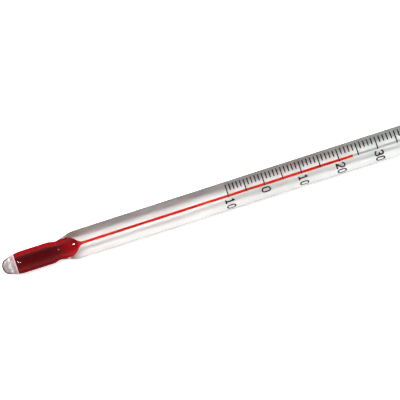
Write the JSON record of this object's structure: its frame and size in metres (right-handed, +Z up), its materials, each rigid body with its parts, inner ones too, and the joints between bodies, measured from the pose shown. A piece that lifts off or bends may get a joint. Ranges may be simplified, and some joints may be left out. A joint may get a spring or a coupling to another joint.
{
  "type": "spirit-in-glass thermometer",
  "caption": "Slim solid-stem glass thermometer with a red spirit thread, a narrow blown bulb, an opal strip behind the bore and a fired black Celsius scale.",
  "frame": {"origin": "on the surface that the thermometer lies on, under the middle of its length and of its stem", "axes": "+X along the stem from the bulb's tip to the top, +Z up through the face of the scale, +Y towards the ends of the scale's lines"},
  "size_m": [0.12, 0.006, 0.0061],
  "materials": {
    "clear_glass": "polished",
    "opal_enamel": "gloss",
    "red_spirit": "gloss",
    "fired_ink": "satin"
  },
  "bodies": {
    "glass": {"bulb_glass": "clear_glass", "bulb_spirit": "red_spirit", "enamel_backing": "opal_enamel", "line_0": "fired_ink", "line_10": "fired_ink", "line_15": "fired_ink", "line_20": "fired_ink", "line_25": "fired_ink", "line_30": "fired_ink", "line_35": "fired_ink", "line_40": "fired_ink", "line_45": "fired_ink", "line_5": "fired_ink", "line_50": "fired_ink", "line_minus_10": "fired_ink", "line_minus_5": "fired_ink", "numeral_0_units": "fired_ink", "numeral_10_tens": "fired_ink", "numeral_10_units": "fired_ink", "numeral_20_tens": "fired_ink", "numeral_20_units": "fired_ink", "numeral_30_tens": "fired_ink", "numeral_30_units": "fired_ink", "numeral_40_tens": "fired_ink", "numeral_40_units": "fired_ink", "numeral_50_tens": "fired_ink", "numeral_50_units": "fired_ink", "numeral_minus_10_tens": "fired_ink", "numeral_minus_10_units": "fired_ink", "spirit_thread": "red_spirit", "stem_tube": "clear_glass", "unit_degree_ring": "fired_ink", "unit_letter_c": "fired_ink"},
    "spirit_level": {"spirit_thread_top": "red_spirit"}
  },
  "joints": [
    {"name": "spirit_rise", "type": "slide", "parent": "glass", "child": "spirit_level", "axis": [1, 0, 0], "range_m": [-0.0272, 0.0224], "deforming": ["spirit_thread"]}
  ]
}
